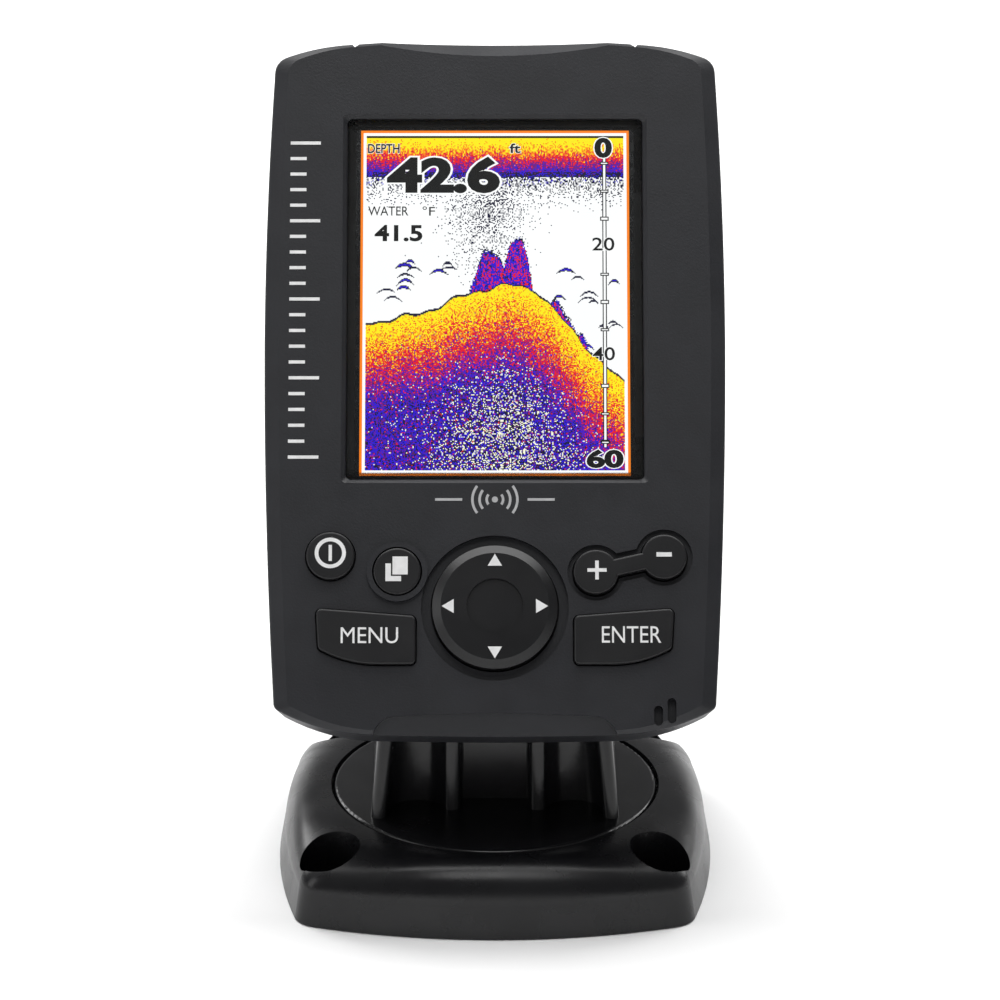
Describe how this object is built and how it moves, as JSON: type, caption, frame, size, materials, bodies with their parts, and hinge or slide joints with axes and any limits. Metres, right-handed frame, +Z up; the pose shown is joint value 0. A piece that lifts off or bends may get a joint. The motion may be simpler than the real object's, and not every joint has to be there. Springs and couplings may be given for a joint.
{
  "type": "fish finder",
  "caption": "Portrait fish finder with a colour screen and keypad, on a quick-release bracket that swivels and tilts.",
  "frame": {"origin": "centre of the four screw holes, on the underside of the bracket's foot", "axes": "+Z up, along the swivel axis; front towards -Y, with the face leaning back 34 degrees; +X to the viewer's right, along the tilt axle"},
  "size_m": [0.091, 0.1076, 0.1558],
  "materials": {
    "bezel": "fine charcoal grain",
    "case": "satin black",
    "lens": "gloss, clear",
    "seal": "matt",
    "screen": "lit colour display",
    "white_plastic": "satin",
    "key": "satin",
    "pad": "satin with a bright bevel",
    "steel": "plain",
    "board": "green solder mask",
    "chip": "moulded black",
    "ferrite": "ground grey",
    "aluminium": "drawn",
    "brass": "plain",
    "bracket": "satin black",
    "yoke": "gloss black",
    "nylon": "plain"
  },
  "bodies": {
    "base": {"bracket_base": "bracket", "wave_washer": "steel"},
    "swivel": {"swivel_yoke": "yoke", "swivel_washer": "steel", "swivel_screw": "steel", "tilt_axle": "steel", "axle_clips": "steel"},
    "shoe": {"mount_shoe": "bracket", "tilt_washers": "nylon", "lever_pin": "steel", "lever_spring": "steel"},
    "lever": {"release_lever": "bracket"},
    "head": {"front_bezel": "bezel", "case_seal": "seal", "window_lens": "lens", "lens_gasket": "seal", "lcd_panel": "screen", "backlight": "white_plastic", "lcd_frame": "steel", "keypad_membrane": "seal", "dome_switches": "steel", "main_board": "board", "board_screws": "steel", "shield_can": "steel", "processor_chip": "chip", "sonar_transformer": "ferrite", "capacitors": "aluminium", "buzzer": "chip", "rear_case": "case", "case_screws": "steel", "cable_socket": "case", "socket_pins": "brass", "socket_seal": "seal", "socket_nut": "brass", "vent_plug": "nylon"},
    "power": {"power_key": "key"},
    "pages": {"pages_key": "key"},
    "menu": {"menu_key": "key"},
    "enter": {"enter_key": "key"},
    "zoom": {"zoom_rocker": "key"},
    "pad_ring": {"pad_pivot_ring": "nylon"},
    "pad": {"direction_pad": "pad"}
  },
  "joints": [
    {"name": "swivel_turn", "type": "hinge", "parent": "base", "child": "swivel", "pos_m": [0, 0, 0.01], "axis": [0, 0, 1], "range_deg": [-90, 90]},
    {"name": "tilt", "type": "hinge", "parent": "swivel", "child": "shoe", "pos_m": [0, 0.0025, 0.0466], "axis": [1, 0, 0], "range_deg": [-25, 15]},
    {"name": "lever_press", "type": "hinge", "parent": "shoe", "child": "lever", "pos_m": [0, -0.00131, 0.03469], "axis": [1, 0, 0], "range_deg": [0, 10], "stiffness_Nm_per_rad": 1.2},
    {"name": "head_lift", "type": "slide", "parent": "shoe", "child": "head", "axis": [0, 0.5592, 0.829], "range_m": [0, 0.026]},
    {"name": "power_press", "type": "slide", "parent": "head", "child": "power", "axis": [0, 0.829, -0.5592], "range_m": [0, 0.0008], "stiffness_N_per_m": 1500},
    {"name": "pages_press", "type": "slide", "parent": "head", "child": "pages", "axis": [0, 0.829, -0.5592], "range_m": [0, 0.0008], "stiffness_N_per_m": 1500},
    {"name": "menu_press", "type": "slide", "parent": "head", "child": "menu", "axis": [0, 0.829, -0.5592], "range_m": [0, 0.0008], "stiffness_N_per_m": 1500},
    {"name": "enter_press", "type": "slide", "parent": "head", "child": "enter", "axis": [0, 0.829, -0.5592], "range_m": [0, 0.0008], "stiffness_N_per_m": 1500},
    {"name": "zoom_rock", "type": "hinge", "parent": "head", "child": "zoom", "pos_m": [0.02635, -0.01475, 0.06716], "axis": [-0.22, 0.5455, 0.8087], "range_deg": [-2.4, 2.4], "stiffness_Nm_per_rad": 0.08},
    {"name": "pad_tilt_x", "type": "hinge", "parent": "head", "child": "pad_ring", "pos_m": [0, -0.01926, 0.05995], "axis": [1, 0, 0], "range_deg": [-2.5, 2.5], "stiffness_Nm_per_rad": 0.12},
    {"name": "pad_tilt_z", "type": "hinge", "parent": "pad_ring", "child": "pad", "pos_m": [0, -0.01926, 0.05995], "axis": [0, 0.5592, 0.829], "range_deg": [-2.5, 2.5], "stiffness_Nm_per_rad": 0.12}
  ]
}
